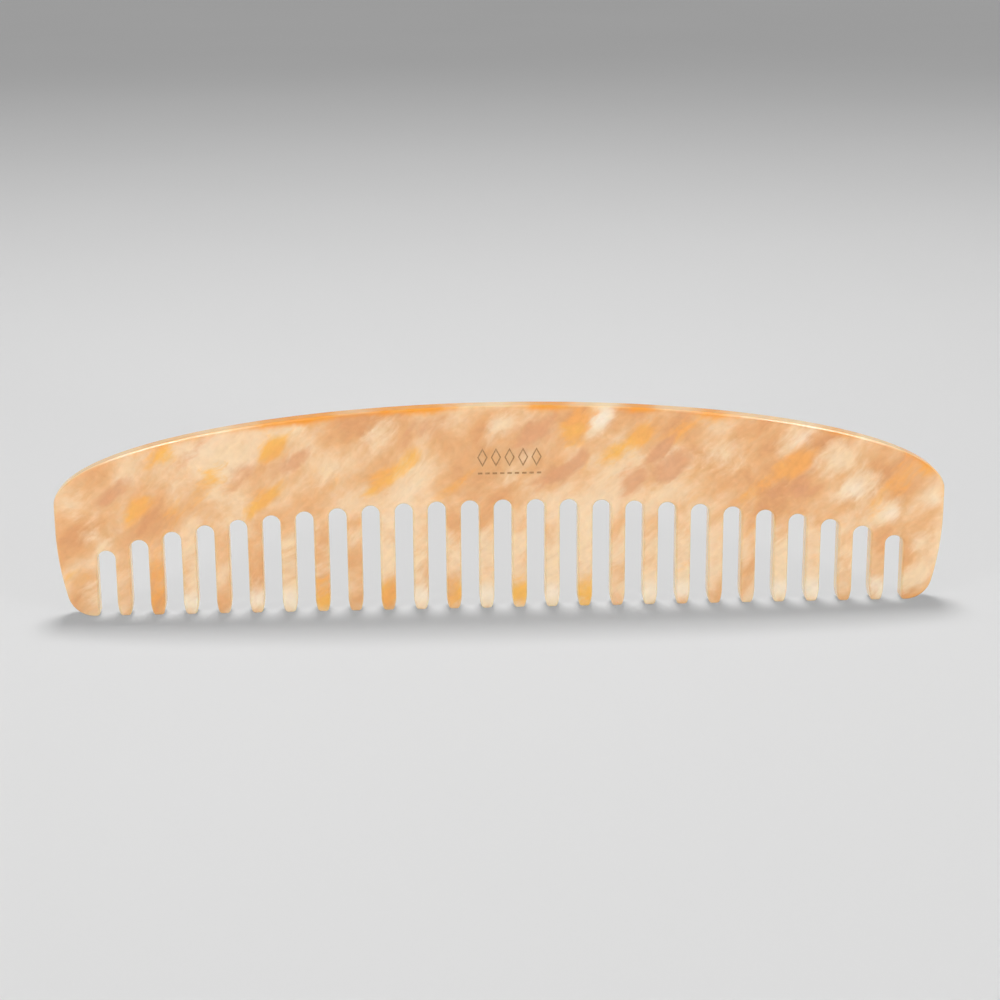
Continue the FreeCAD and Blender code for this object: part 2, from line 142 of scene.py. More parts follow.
# %% Points along a straight run and along an arc
# A point is (x, z, out_x, out_z). The walk keeps the material on its left.
LONGEST_SIDE = 1.4 * MM       # of a face along a straight run


def straight(start, end):
    """Points from start up to, but without, end."""
    run = Vector(end) - Vector(start)
    count = max(1, math.ceil(run.length / LONGEST_SIDE))
    out = Vector((run.y, -run.x)).normalized()
    return [(*(Vector(start) + run * i / count), *out) for i in range(count)]


def round_arc(centre, radius, first, last, count, hollow=False):
    """Points along an arc, from the first angle up to, but without, the last."""
    side = -1 if hollow else 1
    points = []
    for i in range(count):
        angle = first + (last - first) * i / count
        away = Vector((math.cos(angle), math.sin(angle)))
        points.append((*(Vector(centre) + radius * away), *(side * away)))
    return points


print(len(straight((0, 0), (height, 0))), "sides in a straight run as long as the comb is high")

# %% [markdown]
# ## The tip of a tooth
#
# The teeth are narrowed over their last few millimetres so that they part the hair, and
# blunted so that they don't scratch. A file leaves two long curved flanks, a short flat
# end and two small round corners. The radius of the flanks isn't chosen: it is the one
# that meets both the tooth's side and the corner without a kink, so the tip stays smooth
# whatever the width of the tooth.

# %% One tooth's tip
TIP_STEPS = 6                 # sides along each flank and each small corner


def tooth_tip(x):
    """The narrowed tip under a tooth: left flank and corner, blunt end, right ones."""
    rise = TIP_LENGTH - NOSE_RADIUS
    wide = half_tooth - NOSE_SIDE
    flank = (rise * rise / (wide - NOSE_RADIUS) + NOSE_RADIUS + wide) / 2
    reach = flank - half_tooth
    turn = math.atan2(rise, reach + NOSE_SIDE)
    half_turn, down, full_turn = math.pi, 1.5 * math.pi, 2 * math.pi
    left_nose, right_nose = (x - NOSE_SIDE, NOSE_RADIUS), (x + NOSE_SIDE, NOSE_RADIUS)
    left = round_arc((x + reach, TIP_LENGTH), flank, half_turn, half_turn + turn, TIP_STEPS)
    left += round_arc(left_nose, NOSE_RADIUS, half_turn + turn, down, TIP_STEPS)
    blunt = straight((x - NOSE_SIDE, 0), (x + NOSE_SIDE, 0))
    right = round_arc(right_nose, NOSE_RADIUS, down, full_turn - turn, TIP_STEPS)
    right += round_arc((x - reach, TIP_LENGTH), flank, -turn, 0, TIP_STEPS)
    return left + blunt + right


print(len(tooth_tip(0)), "points round a tip")

# %% [markdown]
# ## The end and the crown
#
# The broad end teeth protect the fine ones. Their outer side curves in to a rounded toe,
# and above it the end runs straight up into the crown, which is half of a long ellipse.
# As with the tips, the toe's radius follows from what it has to meet. The ellipse could
# be drawn with even steps along it, but even steps of its own angle crowd the points
# where it turns most, which is where a long face would show as a corner.

# %% From the last slot round to the top of the crown
TOE_STEPS = 14
END_STEPS = 12
CROWN_STEPS = 90


def end_and_crown():
    """The end tooth's corner, flat and toe, the comb's end, and the crown."""
    corner_x = end_inner_side + TOE_INNER_RADIUS
    toe_x = corner_x + TOE_FLAT
    end_x = half_length - END_RADIUS
    chord = END_RADIUS ** 2 - (toe_x - end_x) ** 2 - STRAIGHT_FOOT ** 2
    toe_radius = chord / (2 * (END_RADIUS - STRAIGHT_FOOT))
    turn = math.atan2(STRAIGHT_FOOT - toe_radius, toe_x - end_x)
    points = round_arc((corner_x, TOE_INNER_RADIUS), TOE_INNER_RADIUS,
                       math.pi, 1.5 * math.pi, TIP_STEPS)
    points += straight((corner_x, 0), (toe_x, 0))
    points += round_arc((toe_x, toe_radius), toe_radius, -math.pi / 2, -turn, TOE_STEPS)
    points += round_arc((end_x, STRAIGHT_FOOT), END_RADIUS, -turn, 0, END_STEPS)
    points += straight((half_length, STRAIGHT_FOOT), (half_length, CROWN_FOOT))
    rise = height - CROWN_FOOT
    for i in range(CROWN_STEPS):
        angle = math.pi / 2 * i / CROWN_STEPS
        out = Vector((math.cos(angle) / half_length, math.sin(angle) / rise)).normalized()
        points.append((half_length * math.cos(angle), CROWN_FOOT + rise * math.sin(angle), *out))
    points.append((0, height, 0, 1))
    return points


print(len(end_and_crown()), "points from the end tooth's corner to the middle of the crown")

# %% [markdown]
# ## The whole outline
#
# The comb is the same left and right, so only the right half is walked: from over the
# middle slot, down and up through the slots and teeth, then round the end and back over
# the crown. The left half is that walk mirrored and run backwards, which keeps the two
# exactly alike and saves a second set of sizes.

# %% Walk the right half and mirror it
ROOT_STEPS = 16               # sides along the half circle of a slot's root


def half_outline():
    """The right half, from the middle slot's root to the middle of the crown."""
    right_slots = [x for x in slot_centres if x > -slot_radius]
    points = []
    for x, next_x in zip(right_slots, right_slots[1:] + [None]):
        spring = slot_spring(x)
        first = math.pi if points else math.pi / 2
        count = ROOT_STEPS if points else ROOT_STEPS // 2
        points += round_arc((x, spring), slot_radius, first, 0, count, hollow=True)
        wall = x + slot_radius
        if next_x is None:
            points += straight((wall, spring), (wall, TOE_INNER_RADIUS))
        else:
            points += straight((wall, spring), (wall, TIP_LENGTH))
            points += tooth_tip((x + next_x) / 2)
            far_wall = next_x - slot_radius
            points += straight((far_wall, TIP_LENGTH), (far_wall, slot_spring(next_x)))
    return points + end_and_crown()


right_half = half_outline()
left_half = [(-x, z, -out_x, out_z) for x, z, out_x, out_z in reversed(right_half[1:-1])]
outline = np.array(right_half + left_half)
print(f"{len(outline)} points round the outline")

# %% [markdown]
# ## The polished rims
#
# The rims are rounded on a buffing wheel, so the profile through the sheet is a flat edge
# between two quarter rounds. The outline is repeated once for each step of that profile,
# moved in and forward, and the copies are joined by quads. A Bevel modifier would guess
# which edges to round, and it slips where a nose is hardly wider than the bevel.

# %% Profile through the sheet
ROUND_STEPS = 6
EDGE_STEPS = 3


def edge_profile():
    """(moved in, y, lean towards the face) from the front face round to the rear face."""
    flat = half_thickness - RIM_RADIUS
    front = []
    for i in range(ROUND_STEPS + 1):
        angle = math.pi / 2 * (1 - i / ROUND_STEPS)
        front.append((RIM_RADIUS * (1 - math.cos(angle)),
                      -flat - RIM_RADIUS * math.sin(angle), angle))
    middle = [(0.0, -flat + 2 * flat * i / EDGE_STEPS, 0.0) for i in range(1, EDGE_STEPS)]
    rear = [(inset, -y, -angle) for inset, y, angle in reversed(front)]
    return front + middle + rear


profile = edge_profile()
print(f"{len(profile)} rings from face to face")

# %% [markdown]
# ## The stamped ornament
#
# Combs of this kind carry a small stamped mark in the middle of the back. Here it is a
# plain ornament of five open lozenges over nine dashes. The press leaves a shallow
# recess, and the foil lies on its floor. The foil is the CAD model's own node, so the
# recess reads its loops from that node's mesh and fits it exactly.

# %% Loops of the ornament, seen from the front
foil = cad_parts["foil_mark"]
SAME_POINT = 1e-7             # corners nearer than this are one corner, in metres
LOOKS_TO_THE_FRONT = -0.99    # a face's normal along Y is below this


def front_loops(node):
    """Closed loops round the flat faces of a node that look to the front."""
    mesh = bmesh.new()
    mesh.from_mesh(node.data)
    bmesh.ops.remove_doubles(mesh, verts=mesh.verts, dist=SAME_POINT)
    mesh.normal_update()
    front = {face for face in mesh.faces if face.normal.y < LOOKS_TO_THE_FRONT}
    following = {}
    for face in front:
        for loop in face.loops:
            others = [other for other in loop.edge.link_faces if other in front]
            if len(others) == 1:
                following[loop.vert] = loop.link_loop_next.vert
    loops = []
    while following:
        corner = next(iter(following.values()))
        loop = []
        while corner in following:
            loop.append((corner.co.x, corner.co.z))
            corner = following.pop(corner)
        loops.append(loop)
    mesh.free()
    return loops


mark_loops = front_loops(foil)
print(f"{len(mark_loops)} loops in the ornament, "
      f"with {sorted({len(loop) for loop in mark_loops})} corners")

# %% [markdown]
# ## Points inside the flat faces
#
# The two faces are flat, with 25 deep bays between the teeth. One large n-gon would shade
# badly and couldn't hold colour, so each face is filled with small triangles, and those
# need points to stand on. A staggered grid gives nearly even triangles. Points too near
# the rim or the ornament are left out, since they would make slivers.

# %% A staggered grid, clear of every edge
GRID = 1.0 * MM
ROW_GAP = GRID * 0.87         # the height of an even triangle
CLEAR_OF_EDGES = GRID * 0.55


def inside(x, z, loop):
    """True where points lie inside a closed loop, by counting the sides they cross."""
    crossed = np.zeros(len(x), bool)
    for (ax, az), (bx, bz) in zip(loop, np.roll(loop, -1, axis=0)):
        if az != bz:
            side = (az > z) != (bz > z)
            crossed ^= side & (x < (bx - ax) * (z - az) / (bz - az) + ax)
    return crossed


def grid_points(rim, loops):
    """A staggered grid over the face, clear of the rim and of the ornament."""
    rows = np.arange(0, height, ROW_GAP)
    columns = np.arange(-half_length, half_length, GRID)
    x = np.concatenate([columns + GRID / 2 * (row % 2) for row in range(len(rows))])
    z = np.repeat(rows, len(columns))
    keep = inside(x, z, rim)
    x, z = x[keep], z[keep]
    edges = [tuple(point) for point in rim] + [point for loop in loops for point in loop]
    near_edges = kdtree.KDTree(len(edges))
    for i, (edge_x, edge_z) in enumerate(edges):
        near_edges.insert((edge_x, 0, edge_z), i)
    near_edges.balance()
    gaps = np.array([near_edges.find((px, 0, pz))[2] for px, pz in zip(x, z)])
    clear = gaps > CLEAR_OF_EDGES
    for loop in loops:
        clear &= ~inside(x, z, np.array(loop))
    return np.column_stack((x, z))[clear]


rim = outline[:, :2] - outline[:, 2:] * RIM_RADIUS
front_grid = grid_points(rim, mark_loops)
rear_grid = grid_points(rim, [])
print(f"{len(front_grid)} grid points in the front face, {len(rear_grid)} in the rear one")

# %% [markdown]
# ## Triangles between the points
#
# Joining the points by hand would mean a case for every bay. A constrained Delaunay
# triangulation does it in one call: it keeps the rim and the ornament's loops as edges,
# makes the triangles between the other points as even as it can, and leaves out what
# lies outside. The rear face has no ornament, so it is filled on its own.

# %% Fill the front and the rear face
INSIDE_THE_RIM = 1            # the triangulation's name for this kind of result
CLOSEST = 1e-6                # how near two points may come, in millimetres


def fill_face(rim, loops, grid):
    """Points and anticlockwise triangles of a face; the points are rim, loops, then grid."""
    rings = [[tuple(point) for point in rim]] + [list(loop) for loop in loops]
    points, edges = [], []
    for ring in rings:
        first = len(points)
        points += ring
        edges += [(first + i, first + (i + 1) % len(ring)) for i in range(len(ring))]
    points += [tuple(point) for point in grid]
    result = geometry.delaunay_2d_cdt([Vector(point) / MM for point in points],
                                      edges, [], INSIDE_THE_RIM, CLOSEST)
    origin = [found[0] for found in result[3]]
    triangles = [tuple(origin[i] for i in face) for face in result[2]]
    return points, triangles


front_points, front_triangles = fill_face(rim, mark_loops, front_grid)
rear_points, rear_triangles = fill_face(rim, [], rear_grid)
print(f"{len(front_triangles)} triangles in front, {len(rear_triangles)} behind")

# %% [markdown]
# ## The edge of the sheet, as rings
#
# Rings, faces and recess share their points, so the comb is a single closed skin with no
# seam for light to leak through. That matters here because the acetate is translucent.
# Each corner is given its true direction as a custom normal, so the flat faces stay flat
# right up to the rim and the rim reads as a smooth round. Shading by face angle would
# leave a grey line along every rim instead.

# %% Rings from face to face
vertices, faces, directions = [], [], []
count = len(outline)

for inset, y, lean in profile:
    for x, z, out_x, out_z in outline:
        vertices.append((x - out_x * inset, y, z - out_z * inset))
ring_normals = [Vector((out_x * math.cos(lean), -math.sin(lean), out_z * math.cos(lean)))
                for _, _, lean in profile for _, _, out_x, out_z in outline]
for ring in range(len(profile) - 1):
    for i in range(count):
        j = (i + 1) % count
        corners = (ring * count + i, (ring + 1) * count + i,
                   (ring + 1) * count + j, ring * count + j)
        faces.append(corners)
        directions += [ring_normals[k] for k in corners]
print(f"{len(faces)} quads round the edge")

# %% [markdown]
# ## The rear face
#
# The rear face is plain. It hangs on the last ring, so its rim points are that ring's own
# and only its grid points are new. Its triangles are turned round, because seen from
# behind they run the other way.

# %% Hang the rear face on the last ring
last_ring = (len(profile) - 1) * count
first_grid = len(vertices)
vertices += [(x, half_thickness, z) for x, z in rear_points[count:]]
for triangle in rear_triangles:
    corners = [last_ring + i if i < count else first_grid + i - count for i in triangle]
    faces.append(tuple(reversed(corners)))
    directions += [Vector((0, 1, 0))] * 3
print(f"{len(vertices)} points so far")

# %% [markdown]
# ## The front face
#
# The front hangs on the first ring in the same way, but the press has sunk the ornament
# into it. A boolean cut would leave long thin triangles. Here the triangles inside the
# loops are simply built at a lower level, and a low wall joins each loop at the face to
# the same loop on the floor of the recess.

# %% The front face, with the ornament sunk into it
MARK_DEPTH = 0.12 * MM
front_first = len(vertices)
vertices += [(x, -half_thickness, z) for x, z in front_points[count:]]
loop_points = sum(len(loop) for loop in mark_loops)
floor_first = len(vertices)
vertices += [(x, -half_thickness + MARK_DEPTH, z)
             for x, z in front_points[count:count + loop_points]]

middles = np.array([np.mean([front_points[i] for i in triangle], axis=0)
                    for triangle in front_triangles])
sunk = np.zeros(len(middles), bool)
for loop in mark_loops:
    sunk ^= inside(middles[:, 0], middles[:, 1], np.array(loop))
for triangle, is_sunk in zip(front_triangles, sunk):
    level = floor_first if is_sunk else front_first
    faces.append(tuple(i if i < count else level + i - count for i in triangle))
    directions += [Vector((0, -1, 0))] * 3

first = 0
for loop in mark_loops:
    for i in range(len(loop)):
        a, b = first + i, first + (i + 1) % len(loop)
        faces.append((front_first + a, front_first + b, floor_first + b, floor_first + a))
        run = Vector(vertices[front_first + b]) - Vector(vertices[front_first + a])
        directions += [run.cross(Vector((0, 1, 0))).normalized()] * 4
    first += len(loop)
print(f"{int(sunk.sum())} triangles lie on the floor of the recess")

# %% [markdown]
# ## The comb as one piece
#
# The CAD model divides the comb into a back and teeth, so that it is open between the
# teeth when something touches it. The real comb is one piece, and lines between its parts
# would show. So this one mesh stands for all the acetate nodes, and the foil stays as the
# node it is.

# %% Make the comb
comb_mesh = bpy.data.meshes.new("comb")
comb_mesh.from_pydata(vertices, [], faces)
comb_mesh.polygons.foreach_set("use_smooth", [True] * len(comb_mesh.polygons))
comb_mesh.normals_split_custom_set(directions)
comb = bpy.data.objects.new("comb", comb_mesh)
bpy.context.scene.collection.objects.link(comb)
acetate_nodes = [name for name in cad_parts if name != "foil_mark"]
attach(comb, "root")
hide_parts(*acetate_nodes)
comb.visible_diffuse = False  # its warm light would tint the grey shadow on the floor

check = bmesh.new()
check.from_mesh(comb_mesh)
open_edges = sum(not edge.is_manifold for edge in check.edges)
print(f"{len(comb_mesh.polygons)} faces, {open_edges} open edges, "
      f"volume {check.calc_volume() / MM ** 3:.0f} cubic mm")
check.free()
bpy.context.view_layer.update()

# %% [markdown]
# ## Where the colours lie
#
# Acetate sheet like this is pressed from chips of cream, amber and rosy plastic, then
# sliced, so the same colours never lie twice in one place. A pattern made only of noise
# would be even all over. Here the larger patches are laid in one by one, as a maker would
# choose a piece of sheet: each is a soft slanted oval, kept as a colour attribute on the
# mesh, red for amber, green for cream and blue for rosy. The material tears their edges.

# %% Choose the patches
# (x, z, length, width, strength) in millimetres, all slanting up to the right
CREAM = [(-54, 35, 12, 6, .7), (-42, 39, 9, 4, .9), (-34, 30, 14, 6, .8), (-87, 23, 8, 6, .7),
         (-85, 17, 7, 5, .7), (-84, 6, 9, 7, .8), (-58, 22, 8, 5, .5), (-37, 17, 8, 5, .8),
         (-26, 38, 12, 6, .9), (-1, 39, 13, 6, .9), (-18, 30, 10, 7, .6), (2, 28, 8, 5, .5),
         (20, 40, 8, 5, 1.4), (42, 32, 13, 8, .8), (61, 35, 12, 6, 1.1), (68, 30, 12, 8, .9),
         (72, 24, 11, 8, 1.1), (79, 18, 9, 6, 1.3), (89, 22, 5, 6, 1.0), (86, 13, 8, 6, .9),
         (85, 5, 9, 6, .8)]
AMBER = [(-47, 35, 9, 5, .8), (-48, 25, 10, 3, 1.2), (-61, 27, 10, 5, .8), (-69, 34, 9, 3, .7),
         (-74, 23, 9, 4, .8), (-86, 10, 9, 7, .5), (-67, 23, 7, 4, .6), (-23, 29, 14, 4, 1.0),
         (-9, 27, 11, 2.5, .8), (15, 38, 10, 5, 1.2), (23, 33, 9, 4, .7), (28, 37, 9, 5, 1.0),
         (31, 40, 6, 3, .8), (36, 37, 7, 4, .8), (59, 30, 9, 6, .9), (51, 24, 8, 5, .9),
         (80, 25, 12, 6, .7), (87, 28, 4, 3, .7)]
ROSY = [(-42, 32, 8, 3, 1.0), (-53, 29, 9, 4, 1.1), (-64, 33, 11, 5, .8), (-79, 26, 13, 4, .9),
        (-15, 39, 14, 5, .7), (6, 37, 10, 5, .9), (14, 30, 11, 3, 1.2), (8, 27, 9, 3, 1.0),
        (27, 27, 9, 4, .9), (32, 33, 7, 2.5, 1.4), (34, 29, 10, 5, 1.1), (49, 35, 9, 6, .5),
        (60, 25, 10, 6, .8)]
print(f"{len(AMBER)} amber, {len(CREAM)} cream and {len(ROSY)} rosy patches")

# %% [markdown]
# ## From patches to points
#
# The mesh has a point at least every millimetre of the face, which is fine enough to hold
# patches a few millimetres wide. An image would need an unwrapped surface, and the narrow
# teeth waste most of it. So each point simply asks how deep in each oval it lies, and
# keeps the strongest answer for each colour.

# %% Lay in the patches
SLANT = 42                    # degrees that the chips lean from the comb's length
SOFTNESS = 0.7                # how fast a patch fades past its middle
AMBER_LAID, CREAM_LAID, ROSY_LAID, CROWN_AMBER_AND_GLOW_LAID = range(4)


def laid_in(patches, x, z):
    """How much of one colour's patches lies at each point."""
    amount = np.zeros(len(x))
    turn = math.radians(SLANT)
    for patch_x, patch_z, length, width, strength in patches:
        away_x, away_z = x - patch_x, z - patch_z
        along = away_x * math.cos(turn) + away_z * math.sin(turn)
        across = away_z * math.cos(turn) - away_x * math.sin(turn)
        reach = (2 * along / length) ** 2 + (2 * across / width) ** 2
        amount = np.maximum(amount, strength * np.exp(-SOFTNESS * reach))
    return amount


where = np.array(vertices) / MM
colour = np.zeros((len(where), 4))
for channel, patches in ((AMBER_LAID, AMBER), (CREAM_LAID, CREAM), (ROSY_LAID, ROSY)):
    colour[:, channel] = laid_in(patches, where[:, 0], where[:, 2])
print("strongest amber, cream and rosy", [round(c, 2) for c in colour.max(axis=0)[:3]])

# %% [markdown]
# ## Teeth and tips
#
# A tooth is narrower than a chip, so each shows only one or two colours along its length,
# and neighbours differ. All of them start out creamy towards their lower ends. That cream
# is partly painted light: it brightens the lower teeth, which get less light than the
# back. Two short rows then give each tooth's colour half way down and at its tip, counted
# from the left: a for amber, c for cream, p for peach, where the cream is held back, and
# a dot where it is left as it is. A patch for each tooth would say the same in four times
# as many numbers.

# %% Colour the teeth, with cream that is partly painted light
# (level, reach up and down, letters from the left, strengths), sizes in millimetres
HALF_WAY = (11.0, 6.0, "pacppccpccccccc.ccppcppp", {"a": 0.6, "c": 0.6})
TIPS = (3.0, 4.5, "pacpccapacacacapccppccpc", {"a": 0.85, "c": 1.2})
TOOTH_REACH = 2.8             # from a tooth's axis to where its colour has faded
CREAM_AND_PAINTED_LIGHT = 0.8                  # cream and painted light in every tooth to begin with
CREAM_AND_LIGHT_BELOW = 20             # the level where that cream and painted light begin
CREAM_AND_LIGHT_FADE = 6               # and how far it takes to reach its full strength
HELD_BACK = 0.85

among_teeth = np.abs(where[:, 0]) < end_inner_side / MM
# partly painted light: cream that grows towards the lower ends of the teeth, brightening them
# where less light reaches
lower_teeth_painted_light = np.clip((CREAM_AND_LIGHT_BELOW - where[:, 2]) / CREAM_AND_LIGHT_FADE, 0, 1) * among_teeth
colour[:, CREAM_LAID] = np.maximum(colour[:, CREAM_LAID], CREAM_AND_PAINTED_LIGHT * lower_teeth_painted_light)
for level, reach, letters, strengths in (HALF_WAY, TIPS):
    for axis, letter in zip(tooth_axes, letters):
        across = (where[:, 0] - axis / MM) / TOOTH_REACH
        along = (where[:, 2] - level) / reach
        share = np.exp(-(across ** 4 + along ** 2))
        if letter in "ap":
            colour[:, CREAM_LAID] *= 1 - HELD_BACK * share
        if letter in strengths:
            channel = AMBER_LAID if letter == "a" else CREAM_LAID
            colour[:, channel] = np.maximum(colour[:, channel], strengths[letter] * share)
print("teeth half way", HALF_WAY[2], "and tips", TIPS[2])

# %% [markdown]
# ## Amber and painted glow along the crown
#
# The crown's edge is where the sheet looks deepest, because the eye looks along it. The
# amber there comes and goes with the chips that were sawn through, and it bleeds a
# millimetre or two into the face. That amber is partly the chips' own colour and partly
# painted glow, standing in for light that comes in through the edge and spreads into the
# face. The attribute's alpha holds how near the outer edge a point is, times how amber
# that stretch of it is.

# %% Colour the crown's edge with amber and painted glow
# (from x, to x, strength) in millimetres
CROWN_AMBER_AND_GLOW = [(-76, -57, .5), (-52, -31, .9), (-27, -8, .9), (3, 14, .8), (24, 33, .8),
               (38, 48, .5), (64, 76, .5), (82, 90, .45)]
GLOW_BLEED = 1.4
right_edge = [(x, z) for x, z, _, _ in end_and_crown()]
outer_edge = right_edge + [(-x, z) for x, z in right_edge]
near_crown = kdtree.KDTree(len(outer_edge))
for i, (x, z) in enumerate(outer_edge):
    near_crown.insert((x / MM, 0, z / MM), i)
near_crown.balance()
depth = np.array([near_crown.find((x, 0, z))[2] for x, _, z in where])

stretch = np.zeros(len(where))
for start, end, strength in CROWN_AMBER_AND_GLOW:
    away = np.abs(where[:, 0] - (start + end) / 2) / ((end - start) / 2)
    stretch = np.maximum(stretch, strength * np.exp(-SOFTNESS * away ** 2))
# amber along the crown, partly the chips' colour and partly painted glow of light coming in
# through the edge
colour[:, CROWN_AMBER_AND_GLOW_LAID] = stretch * np.exp(-(depth / GLOW_BLEED) ** 2)
laid = comb_mesh.color_attributes.new("laid_in", "FLOAT_COLOR", "POINT")
laid.data.foreach_set("color", colour.astype(np.float32).ravel())
print(f"colours laid in on {len(where)} points, {len(CROWN_AMBER_AND_GLOW)} amber stretches of crown")

# %% [markdown]
# ## Helpers for the materials
#
# Colours are written as the sRGB hex values a colour card gives, and turned to the linear
# values the shader works in. One function adds any kind of node and links it, which is
# shorter to read than a line for each setting and link.

# %% Colour and node helpers


def linear(code):
    """An sRGB hex colour as linear red, green, blue and alpha."""
    shares = [int(code[i:i + 2], 16) / 255 for i in (1, 3, 5)]
    return tuple(c / 12.92 if c <= 0.04045 else ((c + 0.055) / 1.055) ** 2.4
                 for c in shares) + (1.0,)


def add(tree, kind, inputs=None, **settings):
    """Adds a node, makes its settings, and fills or links its inputs."""
    node = tree.nodes.new(kind)
    for name, value in settings.items():
        setattr(node, name, value)
    for socket, value in (inputs or {}).items():
        if isinstance(value, bpy.types.NodeSocket):
            tree.links.new(value, node.inputs[socket])
        else:
            node.inputs[socket].default_value = value
    return node


def new_material(name):
    """A material with an empty node tree."""
    material = bpy.data.materials.new(name)
    material.use_nodes = True
    material.node_tree.nodes.clear()
    return material, material.node_tree


print("linear amber", [round(c, 3) for c in linear("#E2A15A")])

# %% [markdown]
# ## Marbled cellulose acetate: the flow
#
# Cellulose acetate is a plastic made from cotton and wood pulp. Pressed from chips and
# then buffed, it looks like horn: a soft cloud of cream and peach with feathery streaks
# where the chips flowed. The pattern lives in the block and not on its skin, so the
# material works from the point in space, in millimetres, and rim, slot walls and faces
# match. Before anything is drawn, a slow noise bends that space and a quick one tears it,
# so that every later pattern flows the same way.

# %% Acetate: a flowing space to draw in
acetate, tree = new_material("marbled_acetate")
place = add(tree, "ShaderNodeTexCoord")
in_mm = add(tree, "ShaderNodeVectorMath", {0: place.outputs["Object"], "Scale": 1 / MM},
            operation="SCALE").outputs[0]


def push(tree, point, scale, reach, detail):
    """Moves a point about with a noise, so that what is drawn after it flows."""
    noise = add(tree, "ShaderNodeTexNoise", {"Vector": point, "Scale": scale, "Detail": detail})
    centred = add(tree, "ShaderNodeVectorMath", {0: noise.outputs["Color"], 1: (0.5, 0.5, 0.5)},
                  operation="SUBTRACT")
    moved = add(tree, "ShaderNodeVectorMath",
                {0: centred.outputs[0], 1: (reach, reach, reach), 2: point},
                operation="MULTIPLY_ADD")
    return moved.outputs[0]


SLOW_FLOW = 1 / 18            # one bend of the flow in 18 mm
TORN_EDGE = 1 / 2.6           # chips tear into wisps about 2.6 mm across
flowing = push(tree, in_mm, SLOW_FLOW, reach=7.0, detail=2.0)
torn = push(tree, flowing, TORN_EDGE, reach=1.4, detail=4.0)
slanted = add(tree, "ShaderNodeVectorRotate", {"Vector": torn, "Angle": math.radians(SLANT)},
              rotation_type="Y_AXIS").outputs[0]
print("streaks slant", SLANT, "degrees")

# %% [markdown]
# ## Streaks
#
# Where a chip was squeezed it ran out along the slant. A plain noise has no direction, but
# drawn out three or four times as long as it is wide it looks like such a run. Each
# colour has streaks of its own size, taken from its own place in the noise, so that no
# two colours share an edge.

# %% Acetate: streaks of five sizes


def streaks(tree, point, length, width, start, detail=5.0):
    """A noise drawn out along the slant, in millimetres."""
    drawn = add(tree, "ShaderNodeMapping", {
        "Vector": point, "Location": (start, start, start),
        "Scale": (1 / length, 1 / (2 * width), 1 / width)})
    return add(tree, "ShaderNodeTexNoise", {
        "Vector": drawn.outputs[0], "Scale": 1.0, "Detail": detail,
        "Roughness": 0.56}).outputs[0]


clouds = streaks(tree, slanted, length=17, width=10, start=3.7)
amber_streaks = streaks(tree, slanted, length=10, width=5.0, start=11.3)
rosy_streaks = streaks(tree, slanted, length=9, width=3.8, start=23.9)
cream_streaks = streaks(tree, slanted, length=13, width=7.0, start=37.1)
feathers = streaks(tree, slanted, length=4.5, width=0.9, start=51.7, detail=4.0)
print("5 sizes of streak, from 17 mm long clouds to feathers 0.9 mm wide")

# %% [markdown]
# ## The cloud under the colours
#
# Between the chips the sheet is a cloud of pale cream to warm peach with no hard border
# in it. A colour ramp over the widest streaks gives that, with five stops and a B-spline
# between them, because straight steps from stop to stop would show as bands.

# %% Acetate: the base cloud
CLOUD_COLOURS = [(0.30, "#F3D9B6"), (0.42, "#EFCBA1"), (0.50, "#E9BB8A"),
                 (0.58, "#E5AE78"), (0.70, "#D99C69")]
base = add(tree, "ShaderNodeValToRGB", {"Fac": clouds})
ramp = base.color_ramp
ramp.interpolation = "B_SPLINE"
for position, code in CLOUD_COLOURS:
    stop = ramp.elements.new(position)
    stop.color = linear(code)
ramp.elements.remove(ramp.elements[0])
ramp.elements.remove(ramp.elements[-1])
print(len(ramp.elements), "stops from cream to peach")

# %% [markdown]
# ## One colour over another
#
# A chip's edge isn't a line and isn't a blur either: it is torn into feathers. Mixing by
# the laid in patch alone would give soft ovals. So the patch is added to the colour's own
# streaks, and a little of the finest feathers to that, and only where the total is high
# does the colour show.

# %% Acetate: how a colour is laid over
FEATHERING = 0.24             # how much the feathers tear an edge
SHOWS_FROM = 0.74             # totals between which a colour comes in
SHOWS_FULLY = 1.04


def lay_over(tree, under, over, noise, laid, bias, most):
    """Mixes a colour in where its streaks, helped by its patches, are strong."""
    total = add(tree, "ShaderNodeMath", {0: laid, 1: bias, 2: noise}, operation="MULTIPLY_ADD")
    feathered = add(tree, "ShaderNodeMath", {0: feathers, 1: FEATHERING, 2: total.outputs[0]},
                    operation="MULTIPLY_ADD")
    share = add(tree, "ShaderNodeMapRange", {
        "Value": feathered.outputs[0], "From Min": SHOWS_FROM, "From Max": SHOWS_FULLY,
        "To Max": most}, interpolation_type="SMOOTHSTEP")
    mixed = add(tree, "ShaderNodeMix", {
        "Factor": share.outputs[0], 6: under, 7: over}, data_type="RGBA")
    return mixed.outputs[2]


laid_node = add(tree, "ShaderNodeAttribute", attribute_name="laid_in")
laid_parts = add(tree, "ShaderNodeSeparateColor", {"Color": laid_node.outputs["Color"]})
amber, cream, rosy = (laid_parts.outputs[name] for name in ("Red", "Green", "Blue"))
print("amber, cream and rosy are read from the attribute", laid_node.attribute_name)

# %% [markdown]
# ## Cream, amber and rosy
#
# Three colours of chip lie over the cloud. The amber isn't one tone but runs from golden
# to orange with the cloud behind it, and the strongest cream is nearly white. Rosy is
# laid last and most thinly, since it is the tint that the eye notices first.

